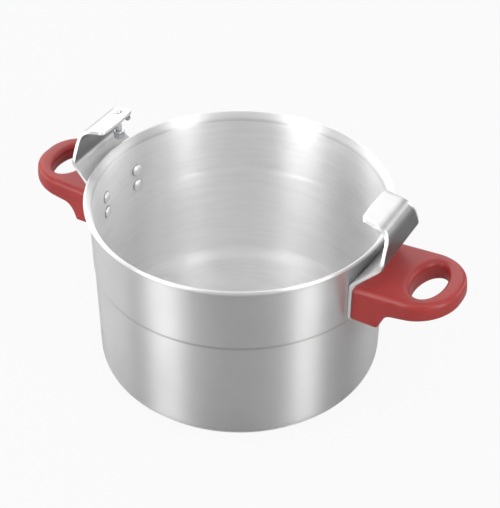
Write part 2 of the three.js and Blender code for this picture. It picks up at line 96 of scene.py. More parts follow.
class Value:
    """A node's output, which adds a Math node for each operator used on it."""

    def __init__(self, graph, socket):
        self.graph = graph
        self.socket = socket

    def out(self, name):
        return Value(self.graph, self.socket.node.outputs[name])

    __add__ = math_method("ADD")
    __radd__ = math_method("ADD", reflected=True)
    __sub__ = math_method("SUBTRACT")
    __rsub__ = math_method("SUBTRACT", reflected=True)
    __mul__ = math_method("MULTIPLY")
    __rmul__ = math_method("MULTIPLY", reflected=True)
    __truediv__ = math_method("DIVIDE")
    __rtruediv__ = math_method("DIVIDE", reflected=True)
    __mod__ = math_method("MODULO")
    __rmod__ = math_method("MODULO", reflected=True)
    __pow__ = math_method("POWER")
    __rpow__ = math_method("POWER", reflected=True)


class Graph:
    """A node tree that is built one node at a time."""

    def __init__(self, tree):
        self.tree = tree

    def add(self, kind, settings=None, inputs=None, output=0):
        node = self.tree.nodes.new(kind)
        for name, value in (settings or {}).items():
            setattr(node, name, value)
        for key, value in (inputs or {}).items():
            if isinstance(value, Value):
                self.tree.links.new(value.socket, node.inputs[key])
            else:
                node.inputs[key].default_value = value
        return Value(self, node.outputs[output]) if node.outputs else None

    def math(self, operation, *terms):
        return self.add("ShaderNodeMath", {"operation": operation}, dict(enumerate(terms)))

    def span(self, value, low, high, start=0.0, end=1.0):
        return self.add(
            "ShaderNodeMapRange", {"interpolation_type": "SMOOTHSTEP"},
            {"Value": value, "From Min": low, "From Max": high, "To Min": start, "To Max": end})


# Finishes


class Finish(Graph):
    """A material whose pattern is read from Object coordinates."""

    def __init__(self, name):
        self.material = bpy.data.materials.new(name)
        self.material.use_nodes = True
        super().__init__(self.material.node_tree)
        self.tree.nodes.clear()
        self.place = self.add("ShaderNodeTexCoord").out("Object")
        parts = self.add("ShaderNodeSeparateXYZ", {}, {0: self.place})
        self.x, self.y, self.z = (parts.out(axis) for axis in "XYZ")

    def radius(self):
        return (self.x * self.x + self.y * self.y) ** 0.5

    def angle(self):
        return self.math("ARCTAN2", self.y, self.x)

    def vector(self, x, y, z):
        return self.add("ShaderNodeCombineXYZ", {}, {0: x, 1: y, 2: z})

    def noise(self, vector, scale, detail=2.0):
        return self.add("ShaderNodeTexNoise", {}, {"Vector": vector, "Scale": scale, "Detail": detail})

    def blend(self, share, first, second):
        return self.add(
            "ShaderNodeMix", {"data_type": "RGBA"}, {0: share, 6: first, 7: second}, output=2)

    def shades(self, share_of_high, colour, low, high):
        """A colour that goes from one shade of itself to another."""
        return self.blend(share_of_high, shade_of(colour, low), shade_of(colour, high))

    def bump(self, height, depth, strength):
        return self.add(
            "ShaderNodeBump", {}, {"Height": height, "Distance": depth, "Strength": strength})

    def surface(self, inputs):
        shader = self.add("ShaderNodeBsdfPrincipled", {}, inputs)
        self.add("ShaderNodeOutputMaterial", {}, {"Surface": shader})
        return self.material


def shade_of(colour, factor):
    return (*(min(part * factor, 1.0) for part in colour[:3]), 1.0)


def turned_aluminium(settings, pot):
    """Aluminium with fine turned rings, streaks inside, painted shade on the outer wall, the inner floor
    and in a line at the shoulder, and a pale satin lip.
    """
    finish = Finish("turned aluminium")
    fine, broad = 900.0, 260.0
    radius = finish.radius()
    around = finish.angle() * 1.6
    rings = finish.noise(finish.vector(radius * fine, finish.z * fine, around), 1.0, 3.0)
    streaks = finish.noise(finish.vector(radius * broad, finish.z * broad, around * 2.0), 1.0, 4.0)
    cloud = finish.noise(finish.place, 14.0, 3.0)
    wall_middle = RIM_RADIUS - pot.flare - pot.shoulder_step - pot.wall / 2
    wall_blur = 0.4 * MM
    inside = finish.span(radius, wall_middle, wall_middle - wall_blur)
    lip_start, lip_full = POT_HEIGHT - 8.0 * MM, POT_HEIGHT - 3.0 * MM
    lip = finish.span(finish.z, lip_start, lip_full)
    # Painted shade: a dark line along the shoulder's step, on the outside only.
    crease = pot.shoulder + pot.shoulder_rise / 4
    half_line = 2.4 * MM
    rising = finish.span(finish.z, crease - half_line, crease)
    falling = finish.span(finish.z, crease, crease + half_line)
    line = (rising - falling) * (1.0 - inside)
    tone = finish.span(cloud * (1.0 - inside * 0.5) + streaks * inside * 0.5, 0.3, 0.7)
    # Painted shade: the outer wall gets a darker aluminium than the satin inside and the lip.
    outer = finish.shades(tone, settings.aluminium, 0.96, 1.03)
    walls = finish.shades(tone, settings.satin, 0.95, 1.04)
    # Painted shade: the inner floor is a darker shade of the satin than the inner walls.
    ground = finish.shades(tone, settings.satin, 0.8, 0.9)
    inner = finish.blend(finish.span(finish.z, pot.corner, pot.base), walls, ground)
    plain = finish.blend(inside, outer, inner)
    shoulder_shaded = finish.blend(line, plain, shade_of(settings.aluminium, 0.72))
    colour = finish.blend(lip, shoulder_shaded, shade_of(settings.satin, 0.96))
    uneven = finish.span(streaks, 0.3, 0.75, -1.0, 1.0) * (inside * 0.035 + 0.015)
    brushed = uneven + inside * 0.06 + settings.aluminium_roughness
    return finish.surface({
        "Base Color": colour,
        "Metallic": 1.0,
        "Roughness": brushed + lip * 0.1,
        "Anisotropic": settings.turning,
        "Anisotropic Rotation": 0.25,
        "Normal": finish.bump((rings * 0.5 + streaks * inside * 0.7) * (1.0 - lip), 0.04 * MM, 0.3),
    })


def polished_steel(settings, hook, pot):
    """Sheet steel with faint drawing lines, bright apart from the upright, which has painted shade, darkest
    outside.
    """
    finish = Finish("polished sheet")
    lines = finish.noise(finish.vector(finish.x * 40.0, finish.y * 500.0, finish.z * 40.0), 1.0, 3.0)
    cloud = finish.noise(finish.place, 60.0, 3.0)
    tone = finish.span(cloud, 0.35, 0.65)
    _, foot, shoulder, neck = hook_levels(hook, pot)
    half = hook.foot_width / 2
    narrowing = (hook.foot_width - hook.lip_width) / 2 / (neck - shoulder)
    aside = finish.math("ABSOLUTE", finish.y) + (finish.z - shoulder) * narrowing
    # The painted shade fades out within a few millimetres of the upright's edges, foot and neck.
    face = finish.span(aside, half - 0.7 * MM, half - 2.2 * MM)
    above = finish.span(finish.z, foot - 5.0 * MM, foot + 2.0 * MM)
    below = finish.span(finish.z, neck + 3.5 * MM, neck - 1.0 * MM)
    # The middle of the sheet moves in by the upright's lean and, as a parabola, in the top bend.
    bend = lip_ends(hook)[1]
    bend_start = bend.y - 0.84 * hook.top_bend
    bent = finish.math("MAXIMUM", finish.z - bend_start, 0.0)
    inwards = (finish.z - foot) * (hook.lean / (bend.y - foot)) + bent * bent / (3.4 * hook.top_bend)
    outwards = finish.math("ABSOLUTE", finish.x) + inwards
    middle = HOOK_HIGH.x - hook.sheet / 2
    blur = 0.5 * MM
    outside = finish.span(outwards, middle - blur, middle + blur, 0.6, 1.0)
    # Painted shade: the upright gets a dark steel that stands in for the dark reflection on its face,
    # lighter on its inner side.
    upright = above * below * face * outside
    bright = finish.shades(tone, settings.steel, 0.97, 1.03)
    shaded_upright = finish.shades(tone, settings.shaded_steel, 0.95, 1.04)
    rough = settings.steel_roughness
    uneven = finish.span(lines * 0.5 + cloud * 0.5, 0.3, 0.7, rough - 0.04, rough + 0.05)
    return finish.surface({
        "Base Color": finish.blend(upright, bright, shaded_upright),
        "Metallic": 1.0,
        "Roughness": uneven + (1.0 - above) * 0.3,
        "Normal": finish.bump(lines, 0.03 * MM, 0.2),
    })


def moulded_red(settings):
    """Satin red moulding with a fine skin texture and slightly dull patches."""
    finish = Finish("moulded red")
    patches = finish.noise(finish.place, 38.0, 4.0)
    skin = finish.noise(finish.place, 1500.0, 2.0)
    tone = finish.span(patches, 0.3, 0.7)
    rough = settings.red_roughness
    return finish.surface({
        "Base Color": finish.shades(tone, settings.red, 0.9, 1.08),
        "Roughness": finish.span(patches * 0.6 + skin * 0.4, 0.3, 0.7, rough - 0.06, rough + 0.08),
        "Specular IOR Level": 0.45,
        "Normal": finish.bump(skin, 0.05 * MM, 0.3),
    })


def small_metal(name, colour, rough, crease=None):
    """Small turned metal with soft spots and fine scratches.

    It gets painted shade between the two distances from the pot's axis that crease gives.
    """
    finish = Finish(name)
    spots = finish.noise(finish.place, 420.0, 3.0)
    scratches = finish.noise(finish.vector(finish.x * 300.0, finish.y * 300.0, finish.z * 2400.0), 1.0)
    tone = finish.span(spots, 0.3, 0.7)
    shown = finish.shades(tone, colour, 0.95, 1.05)
    # Painted shade: a darker ring between the radii that crease gives.
    if crease is not None:
        shown = finish.blend(finish.span(finish.radius(), *crease), shown, shade_of(colour, 0.35))
    return finish.surface({
        "Base Color": shown,
        "Metallic": 1.0,
        "Roughness": finish.span(spots * 0.5 + scratches * 0.5, 0.3, 0.7, rough - 0.05, rough + 0.07),
        "Normal": finish.bump(scratches, 0.03 * MM, 0.3),
    })


# Turned forms and rows of fixings


FORM_INPUTS = {
    "Profile": "NodeSocketGeometry",
    "Segments": "NodeSocketInt",
    "Sharp Angle": "NodeSocketFloat",
    "Finish": "NodeSocketMaterial",
}
ROW_INPUTS = {
    "Rows": "NodeSocketInt",
    "Lowest Row": "NodeSocketFloat",
    "Row Pitch": "NodeSocketFloat",
    "Column Angle": "NodeSocketFloat",
    "Column Offset": "NodeSocketFloat",
}


class FormTree(Graph):
    """A tree with named inputs that ends in one plain form of one finish."""

    def __init__(self, name, inputs):
        super().__init__(bpy.data.node_groups.new(name, "GeometryNodeTree"))
        for title, kind in inputs.items():
            self.tree.interface.new_socket(title, in_out="INPUT", socket_type=kind)
        self.tree.interface.new_socket("Form", in_out="OUTPUT", socket_type="NodeSocketGeometry")
        self.entry = self.add("NodeGroupInput")

    def given(self, name):
        return self.entry.out(name)

    def end(self, geometry):
        whole = self.add("GeometryNodeRealizeInstances", {}, {"Geometry": geometry})
        painted = self.add("GeometryNodeSetMaterial", {}, {
            "Geometry": whole, "Material": self.given("Finish")})
        self.add("NodeGroupOutput", {}, {"Form": painted})
        return self.tree


def turned_tree():
    """A tree that turns a profile, drawn as points in X and Z, about Z."""
    graph = FormTree("Turned form", FORM_INPUTS)
    profile = graph.given("Profile")
    count = graph.add("GeometryNodeAttributeDomainSize", {"component": "MESH"}, {"Geometry": profile})
    grid = graph.add("GeometryNodeMeshGrid", {}, {
        "Size X": 1.0, "Size Y": 1.0,
        "Vertices X": graph.given("Segments") + 1.0, "Vertices Y": count})
    position = graph.add("GeometryNodeInputPosition")
    spot = graph.add("ShaderNodeSeparateXYZ", {}, {0: position})
    turn = (spot.out("X") + 0.5) * math.tau
    row = graph.add(
        "FunctionNodeFloatToInt", {"rounding_mode": "ROUND"}, {0: (spot.out("Y") + 0.5) * (count - 1.0)})
    point = graph.add(
        "GeometryNodeSampleIndex", {"data_type": "FLOAT_VECTOR", "domain": "POINT"},
        {"Geometry": profile, "Value": position, "Index": row})
    drawn = graph.add("ShaderNodeSeparateXYZ", {}, {0: point})
    carried = graph.add("ShaderNodeCombineXYZ", {}, {
        0: drawn.out("X") * graph.math("COSINE", turn),
        1: drawn.out("X") * graph.math("SINE", turn),
        2: drawn.out("Z")})
    moved = graph.add("GeometryNodeSetPosition", {}, {"Geometry": grid, "Position": carried})
    closed = graph.add("GeometryNodeMergeByDistance", {}, {"Geometry": moved, "Distance": WELD})
    smooth = graph.add("GeometryNodeSetShadeSmooth", {"domain": "FACE"}, {
        "Geometry": closed, "Shade Smooth": True})
    bend = graph.add("GeometryNodeInputMeshEdgeAngle")
    sharp = graph.add("FunctionNodeCompare", {"data_type": "FLOAT", "operation": "GREATER_THAN"}, {
        0: bend, 1: graph.given("Sharp Angle")})
    edged = graph.add("GeometryNodeSetShadeSmooth", {"domain": "EDGE"}, {
        "Geometry": smooth, "Selection": sharp, "Shade Smooth": False})
    return graph.end(edged)


def rows_tree(one_form):
    """A tree that turns a fixing along X and repeats it in two columns on both sides of the pot."""
    graph = FormTree("Fixings in rows", {**FORM_INPUTS, **ROW_INPUTS})
    form = graph.add("GeometryNodeGroup", {"node_tree": one_form}, {
        name: graph.given(name) for name in FORM_INPUTS})
    along = graph.add("GeometryNodeTransform", {}, {
        "Geometry": form, "Rotation": (0.0, math.pi / 2, 0.0)})
    index = graph.add("GeometryNodeInputIndex")
    rows = graph.given("Rows")
    row = index % rows
    column = graph.math("FLOOR", index / rows) % 2.0 * 2.0 - 1.0
    side = graph.math("FLOOR", index / (rows * 2.0))
    spot = graph.add("ShaderNodeCombineXYZ", {}, {
        0: 0.0, 1: column * graph.given("Column Offset"),
        2: graph.given("Lowest Row") + row * graph.given("Row Pitch")})
    points = graph.add("GeometryNodePoints", {}, {"Count": rows * 4.0, "Position": spot})
    turn = graph.add("ShaderNodeCombineXYZ", {}, {
        0: 0.0, 1: 0.0, 2: side * math.pi + column * graph.given("Column Angle")})
    placed = graph.add("GeometryNodeInstanceOnPoints", {}, {
        "Points": points, "Instance": along, "Rotation": turn})
    return graph.end(placed)


def tree_named(name):
    """One of the two trees, made when it is first asked for."""
    if name not in bpy.data.node_groups:
        rows_tree(turned_tree())
    return bpy.data.node_groups[name]


def holder_of(name, data):
    """A new object in the scene."""
    holder = bpy.data.objects.new(name, data)
    bpy.context.scene.collection.objects.link(holder)
    return holder


def mesh_of(name, points, faces):
    mesh = bpy.data.meshes.new(name)
    mesh.from_pydata(points, [], faces)
    mesh.validate()
    return mesh


def grown(profile, tree_name, inputs):
    """The plain mesh that a tree makes from a profile of radius and height."""
    points = [(radius, 0.0, height) for radius, height in profile]
    holder = holder_of("profile", mesh_of("profile", points, []))
    modifier = holder.modifiers.new("form", "NODES")
    modifier.node_group = tree_named(tree_name)
    identifiers = {
        item.name: item.identifier
        for item in modifier.node_group.interface.items_tree if item.in_out == "INPUT"}
    for name, value in inputs.items():
        modifier[identifiers[name]] = value
    return evaluated(holder)


def turned(profile, segments, finish, sharp=SHARP):
    """A form that is turned about Z."""
    return grown(profile, "Turned form", {"Segments": segments, "Sharp Angle": sharp, "Finish": finish})


def evaluated(holder):
    """An object's mesh with its modifiers carried out. The object is removed."""
    bpy.context.view_layer.update()
    graph = bpy.context.evaluated_depsgraph_get()
    mesh = bpy.data.meshes.new_from_object(holder.evaluated_get(graph))
    holder.modifiers.clear()
    bpy.data.objects.remove(holder)
    if not mesh.polygons:
        raise RuntimeError("a piece came out empty")
    return mesh


def outward(mesh):
    """Turns a closed mesh that came out inside out."""
    form = bmesh.new()
    form.from_mesh(mesh)
    inside_out = form.calc_volume(signed=True) < 0.0
    form.free()
    if inside_out:
        mesh.flip_normals()
    return mesh


def welded(mesh):
    """A closed mesh with its doubled points merged and its faces pointing out."""
    form = bmesh.new()
    form.from_mesh(mesh)
    bmesh.ops.remove_doubles(form, verts=form.verts, dist=WELD)
    bmesh.ops.recalc_face_normals(form, faces=form.faces)
    form.to_mesh(mesh)
    form.free()
    return outward(mesh)


def place(mesh, name, body, slot, *nodes):
    """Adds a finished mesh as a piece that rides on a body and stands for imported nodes."""
    mesh.name = name
    piece = holder_of(name, outward(mesh))
    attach(piece, body)
    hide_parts(*nodes)


def arc(centre, radius, start, end, steps):
    """Points on an arc, given by its centre and by its start and end in degrees."""
    turns = [math.radians(start + (end - start) * i / steps) for i in range(steps + 1)]
    return [(centre[0] + radius * math.cos(turn), centre[1] + radius * math.sin(turn)) for turn in turns]


def curve(first, control, last, steps):
    """Points on a quadratic curve."""
    points = []
    for i in range(steps + 1):
        t = i / steps
        points.append(tuple(
            (1 - t) ** 2 * a + 2 * t * (1 - t) * b + t ** 2 * c
            for a, b, c in zip(first, control, last)))
    return points


def skin(name, rings):
    """A form with flat ends through rings of points, all of the same count."""
    count = len(rings[0])
    points = [point for ring in rings for point in ring]
    faces = [tuple(reversed(range(count))), tuple(range(len(points) - count, len(points)))]
    for row in range(len(rings) - 1):
        for i in range(count):
            j = (i + 1) % count
            faces.append((row * count + i, row * count + j, (row + 1) * count + j, (row + 1) * count + i))
    return mesh_of(name, points, faces)


def rod(radius, low, high, steps, turn=None):
    """A plain closed rod, upright unless it is turned."""
    turns = [math.tau * i / steps for i in range(steps)]
    mesh = skin("rod", [
        [(radius * math.cos(a), radius * math.sin(a), z) for a in turns] for z in (low, high)])
    if turn is not None:
        mesh.transform(turn)
    return mesh


def cleaned(mesh):
    """A mesh without the doubled points and the faces of no area that cuts can leave."""
    near = 0.02 * MM
    form = bmesh.new()
    form.from_mesh(mesh)
    bmesh.ops.remove_doubles(form, verts=form.verts, dist=near)
    bmesh.ops.triangulate(form, faces=[face for face in form.faces if len(face.verts) > 4])
    bmesh.ops.dissolve_degenerate(form, edges=form.edges, dist=near)
    form.to_mesh(mesh)
    form.free()
    return mesh


def cut(mesh, steps):
    """A mesh after a row of Boolean steps, each given as an operation and a mesh."""
    holder = holder_of("blank", mesh)
    tools = []
    for operation, tool_mesh in steps:
        tool = holder_of("tool", tool_mesh)
        modifier = holder.modifiers.new(operation.lower(), "BOOLEAN")
        modifier.operation = operation
        modifier.solver = "EXACT"
        modifier.object = tool
        tools.append(tool)
    result = evaluated(holder)
    for tool in tools:
        bpy.data.objects.remove(tool)
    return result


def smooth_shaded(mesh, angle):
    """Shades a mesh smooth apart from edges sharper than an angle."""
    mesh.shade_smooth()
    mesh.set_sharp_from_angle(angle=angle)
    return mesh


def paint(mesh, material):
    mesh.materials.clear()
    mesh.materials.append(material)
    return mesh


# Settings


def length(name, description, default):
    return bpy.props.FloatProperty(
        name=name, description=description, default=default, min=0.0, subtype="DISTANCE", unit="LENGTH",
        precision=5)


def share(name, description, default):
    return bpy.props.FloatProperty(
        name=name, description=description, default=default, min=0.0, max=1.0, subtype="FACTOR")


def angle(name, description, degrees):
    return bpy.props.FloatProperty(
        name=name, description=description, default=math.radians(degrees), subtype="ANGLE")


def number(name, description, default):
    return bpy.props.FloatProperty(name=name, description=description, default=default, precision=4)


def tint(name, description, default):
    return bpy.props.FloatVectorProperty(
        name=name, description=description, default=default, size=3, min=0.0, max=1.0, subtype="COLOR")


class PotSettings(bpy.types.PropertyGroup):
    wall: length("Wall", "Thickness of the pot's wall", 2.5 * MM)
    base: length("Base", "Thickness of the pot's floor", 3.5 * MM)
    corner: length("Corner", "Outer radius between wall and underside", 14.0 * MM)
    flare: length("Flare", "How far the lip stands out from the wall", 4.2 * MM)
    flare_height: length("Flare height", "Height over which the lip flares", 9.0 * MM)
    shoulder: length("Shoulder", "Height of the shoulder line", 98.0 * MM)
    shoulder_step: length("Shoulder step", "How far the collar stands out at the shoulder", 0.8 * MM)
    shoulder_rise: length("Shoulder rise", "Height of the shoulder's slope", 3.0 * MM)


class HookSettings(bpy.types.PropertyGroup):
    sheet: length("Sheet", "Thickness of the sheet", 2.5 * MM)
    edge: length("Edge", "Width of the sheet's rounded edges", 0.45 * MM)
    plate_height: length("Plate height", "Height of the plate below the ledge", 40.5 * MM)
    plate_corner: length("Plate corner", "Radius of the plate's lower corners", 5.0 * MM)
    foot_width: length("Foot width", "Width of the upright at its foot", 65.0 * MM)
    foot_rise: length("Foot rise", "From the upright's foot to where it starts to narrow", 5.0 * MM)
    taper: share("Taper", "Share of the upright's height over which it narrows", 0.77)
    taper_corner: length("Taper corner", "Radius where the upright starts to narrow", 50.0 * MM)
    neck_corner: length("Neck corner", "Radius where the upright meets the lip", 28.0 * MM)
    lean: length("Lean", "How far the upright leans in at its top", 1.5 * MM)
    lip_width: length("Lip width", "Width of the lip", 43.0 * MM)
    lip_rise: length("Lip rise", "How far the lip rises from its bend to its inner edge", 4.2 * MM)
    lip_overhang: length("Lip overhang", "How far the lip reaches in past the rim", 8.3 * MM)
    lip_corner: length("Lip corner", "Radius of the lip's corners", 4.0 * MM)
    lip_bow: length("Lip bow", "How far the lip's inner edge bows inwards", 2.4 * MM)
    ledge_bend: length("Ledge bend", "Radius between plate and ledge", 2.5 * MM)
    foot_bend: length("Foot bend", "Radius between ledge and upright", 8.0 * MM)
    top_bend: length("Top bend", "Radius between upright and lip", 12.5 * MM)
    tab_width: length("Tab width", "Width of the turned-down tab", 4.5 * MM)
    tab_drop: length("Tab drop", "Length of the turned-down tab", 11.0 * MM)


class HandleSettings(bpy.types.PropertyGroup):
    gap: length("Gap", "From the top of the handle up to the hook's ledge", 5.5 * MM)
    reach: length("Reach", "From the plate out to the tip", 70.0 * MM)
    pivot: length("Pivot", "From the plate out to where the grip starts to rise", 20.0 * MM)
    tilt: angle("Tilt", "How steeply the grip rises towards its tip", 7.0)
    grip: length("Grip", "Thickness of the grip at its pivot", 20.0 * MM)
    tip: length("Tip", "Thickness of the grip at its tip", 14.0 * MM)
    edge: length("Edge", "Radius of the grip's edges", 4.5 * MM)
    end_radius: length("End radius", "Radius of the grip's two outer corners, seen from above", 33.0 * MM)
    hole_width: length("Hole width", "Width of the finger hole", 25.0 * MM)
    hole_length: length("Hole length", "Length of the finger hole", 46.0 * MM)
    hole_edge: length("Hole edge", "Radius of the finger hole's edges", 5.0 * MM)
    bar: length("Bar", "Width of the grip outside the finger hole", 14.0 * MM)
    base_depth: length("Base depth", "How far the base stands out from the plate", 17.0 * MM)
    base_sweep: length("Base sweep", "Reach of the hollow sweep under the grip", 9.0 * MM)
    base_edge: length("Base edge", "Radius of the base's edges", 2.5 * MM)
    grain: length("Grain", "Size of the faces that the moulding is made of", 0.7 * MM)
    smoothing: bpy.props.IntProperty(
        name="Smoothing", description="How often the moulding is smoothed", default=16, min=0)


class FixingSettings(bpy.types.PropertyGroup):
    rivet_head: length("Rivet head", "Diameter of the rivets' domed heads", 11.0 * MM)
    rivet_rise: length("Rivet rise", "Height of the rivets' domes", 3.0 * MM)
    rivet_shank: length("Rivet shank", "Diameter of the rivets' shanks", 5.0 * MM)
    rivet_tail: length("Rivet tail", "Diameter of the rivets' tails", 8.0 * MM)
    screw_shank: length("Screw shank", "Diameter of the handle screws", 4.8 * MM)
    screw_head: length("Screw head", "Height of the handle screws' heads", 2.4 * MM)
    thread: length("Thread", "Pitch of the threads", 0.8 * MM)
    pin_shank: length("Pin shank", "Diameter of the lock pin", 5.5 * MM)


class FinishSettings(bpy.types.PropertyGroup):
    # Painted shade: the outside is a darker aluminium than the satin inside.
    aluminium: tint("Aluminium", "Colour of the pot's polished outside", (0.66, 0.66, 0.66))
    satin: tint("Satin", "Colour of the pot's satin inside", (0.97, 0.97, 0.97))
    aluminium_roughness: share("Aluminium roughness", "How matt the pot is", 0.43)
    turning: share("Turning", "How strongly the turned rings spread reflections", 0.9)
    steel: tint("Steel", "Colour of the hooks' lips, ledges and edges", (0.78, 0.78, 0.78))
    # Painted shade: the uprights' dark colour stands in for the dark reflection on their faces.
    shaded_steel: tint("Dull steel", "Colour of the hooks' uprights", (0.25, 0.25, 0.25))
    steel_roughness: share("Steel roughness", "How matt the hooks are", 0.4)
    rivet: tint("Rivet", "Colour of the rivets", (0.93, 0.93, 0.93))
    zinc: tint("Zinc", "Colour of the nut, washer and screws", (0.6, 0.61, 0.62))
    brass: tint("Brass", "Colour of the inserts", (0.7, 0.55, 0.27))
    red: tint("Red", "Colour of the handles", (0.36, 0.036, 0.034))
    red_roughness: share("Red roughness", "How matt the handles are", 0.36)


class StageSettings(bpy.types.PropertyGroup):
    floor: tint("Floor", "Colour of the floor and backdrop", (0.4, 0.4, 0.4))
    white: share("White", "How much of the floor's look is plain white", 0.92)
    room: share("Room", "Brightness of the room around the lamps", 0.22)
    azimuth: angle("Azimuth", "Camera's turn about the pot", 29.9)
    elevation: angle("Elevation", "Camera's height above the horizon", 38.9)
    distance: length("Distance", "From the camera to the point it is aimed at", 1051.4 * MM)
    aim: length("Aim", "Height of the point the camera is aimed at", 79.05 * MM)
    lens: bpy.props.FloatProperty(
        name="Lens", description="Focal length for a sensor 36 mm wide", default=88.8, unit="CAMERA")
    shift_x: number("Shift X", "Camera's shift to the side", 0.0199)
    shift_y: number("Shift Y", "Camera's shift upwards", 0.0307)


# Pot


def pot_profile(pot):
    """The pot's section from the middle of the underside, over the lip, to the middle of its floor."""
    outer = RIM_RADIUS - pot.flare
    lower = outer - pot.shoulder_step
    inner = outer - pot.wall
    inner_lower = lower - pot.wall
    inner_corner = pot.corner - pot.wall
    shoulder, rise, step = pot.shoulder, pot.shoulder_rise, pot.shoulder_step
    shoulder_top = shoulder + rise
    plain_wall = 1.0 * MM
    flare_start = POT_HEIGHT - pot.flare_height
    flare_middle = flare_start + pot.flare_height / 2
    edge = pot.wall / 2
    slant = edge * math.sqrt(0.5)
    edge_x, edge_z = RIM_RADIUS - edge, POT_HEIGHT - edge
    rings = (0.25, 0.5, 0.75)
    points = [(0.0, 0.0)]
    points += [(ring * (lower - pot.corner), 0.0) for ring in rings]
    points += arc((lower - pot.corner, pot.corner), pot.corner, -90.0, 0.0, 12)
    points += [(lower, shoulder - plain_wall)]
    points += curve(
        (lower, shoulder), (lower, shoulder + rise / 4), (lower + step * 0.6, shoulder + rise / 3), 4)
    points += curve(
        (lower + step * 0.8, shoulder + rise / 2), (outer, shoulder_top - rise / 4),
        (outer, shoulder_top), 4)
    points += curve((outer, flare_start), (outer, flare_middle), (edge_x + slant, edge_z - slant), 10)
    points += arc((edge_x, edge_z), edge, -45.0, 135.0, 14)[1:-1]
    points += curve((edge_x - slant, edge_z + slant), (inner, flare_middle), (inner, flare_start), 10)
    step_middle = (inner - step / 2, shoulder + rise / 2)
    points += curve((inner, shoulder_top + rise), (inner, shoulder_top), step_middle, 6)
    points += curve(step_middle, (inner_lower, shoulder), (inner_lower, shoulder - rise), 6)[1:]
    floor_radius = inner_lower - inner_corner
    points += arc((floor_radius, pot.base + inner_corner), inner_corner, 0.0, -90.0, 12)
    points += [(ring * floor_radius, pot.base) for ring in reversed(rings)]
    return points + [(0.0, pot.base)]


class COOKER_OT_pot(bpy.types.Operator):
    """Turns the pot from its section"""

    bl_idname = "cooker.pot"
    bl_label = "Pot"

    def execute(self, context):
        pot = context.scene.cooker_pot
        finish = turned_aluminium(context.scene.cooker_finish, pot)
        mesh = turned(pot_profile(pot), POT_SEGMENTS, finish, math.radians(50.0))
        place(mesh, "pot_shell", "cooker", "pot_aluminium", "pot")
        return {"FINISHED"}


# Lid hooks


def rounded(corners, steps, runs):
    """A line through 2-D corners of given radii, its bends in steps and each run in its number of parts."""
    marks = [(Vector(corners[0][0]), None, Vector(corners[0][0]))]
    for before, (at, radius), after in zip(corners, corners[1:], corners[2:]):
        at = Vector(at)
        back = (Vector(before[0]) - at).normalized()
        ahead = (Vector(after[0]) - at).normalized()
        reach = radius / math.tan(back.angle(ahead) / 2)
        marks.append((at + back * reach, at, at + ahead * reach))
    marks.append((Vector(corners[-1][0]), None, Vector(corners[-1][0])))
    points = [tuple(marks[0][2])]
    for parts, before, after in zip(runs, marks, marks[1:]):
        for i in range(1, parts + 1):
            points.append(tuple(before[2].lerp(after[0], i / parts)))
        if after[1] is not None:
            points += curve(tuple(after[0]), tuple(after[1]), tuple(after[2]), steps)[1:]
    return points


def lip_ends(hook):
    """The lip's inner edge and its bend, as points in X and Z on the middle of the sheet."""
    inner_x = RIM_RADIUS - hook.lip_overhang
    bend_x = HOOK_HIGH.x - hook.sheet / 2 - hook.lean
    slope = math.atan2(hook.lip_rise, bend_x - inner_x)
    inner_z = HOOK_HIGH.z - hook.sheet / 2 * math.cos(slope)
    return Vector((inner_x, inner_z)), Vector((bend_x, inner_z - hook.lip_rise))


def lip_height(hook, x):
    """Height of the middle of the lip's sheet at a distance from the pot's axis."""
    inner, bend = lip_ends(hook)
    return inner.y + (bend.y - inner.y) * (x - inner.x) / (bend.x - inner.x)


def plate_radius(hook, pot):
    """Distance of the middle of the plate's sheet from the pot's axis."""
    return RIM_RADIUS - pot.flare + GAP + hook.sheet / 2


def hook_levels(hook, pot):
    """Heights of the ledge, of the upright's foot and of the start and the end of its taper."""
    ledge = HOOK_LOW.z + hook.plate_height
    foot = ledge + HOOK_HIGH.x - hook.sheet / 2 - plate_radius(hook, pot)
    shoulder = foot + hook.foot_rise
    return ledge, foot, shoulder, shoulder + hook.taper * (HOOK_HIGH.z - shoulder)


def hook_sheet(hook, pot):
    """The middle surface of a hook on +X, as lines of points up the sheet, side by side."""
    plate_middle = plate_radius(hook, pot)
    plate_half = HOOK_HIGH.y
    plate_sag = plate_middle - math.sqrt(plate_middle ** 2 - plate_half ** 2)
    upright = HOOK_HIGH.x - hook.sheet / 2
    inner, bend = lip_ends(hook)
    ledge_height, foot_height, shoulder, taper_end = hook_levels(hook, pot)
    edge = rounded([
        ((plate_half, ledge_height - plate_sag), 0.0),
        ((hook.foot_width / 2, shoulder), hook.taper_corner),
        ((hook.lip_width / 2, taper_end), hook.neck_corner),
        ((hook.lip_width / 2, HOOK_HIGH.z), 0.0),
    ], 12, (1, 1, 1))

    def half_width(z):
        for (wide, low), (narrow, high) in zip(edge, edge[1:]):
            if low <= z < high:
                return wide + (narrow - wide) * (z - low) / (high - low)
        return plate_half if z < edge[0][1] else hook.lip_width / 2

    columns = 34
    across = [math.sin(math.pi / 2 * (2 * i / columns - 1)) for i in range(columns + 1)]
    lines = []
    for t in across:
        wide = plate_half * t
        over = max(abs(wide) - (plate_half - hook.plate_corner), 0.0)
        corner_lift = hook.plate_corner - math.sqrt(max(hook.plate_corner ** 2 - over ** 2, 0.0))
        lip_over = max(abs(t) * hook.lip_width / 2 - (hook.lip_width / 2 - hook.lip_corner), 0.0)
        lip_back = hook.lip_corner - math.sqrt(max(hook.lip_corner ** 2 - lip_over ** 2, 0.0))
        wall = math.sqrt(plate_middle ** 2 - wide ** 2)
        top = ledge_height - (plate_middle - wall)
        line = rounded([
            ((wall, HOOK_LOW.z + corner_lift), 0.0),
            ((wall, top), hook.ledge_bend),
            ((upright, foot_height), hook.foot_bend),
            (tuple(bend), hook.top_bend),
            ((inner.x + lip_back - hook.lip_bow * (1.0 - 0.5 * t * t), inner.y), 0.0),
        ], 8, (6, 6, 8, 14))
        lines.append([(x, t * half_width(z), z) for x, z in line])
    return lines


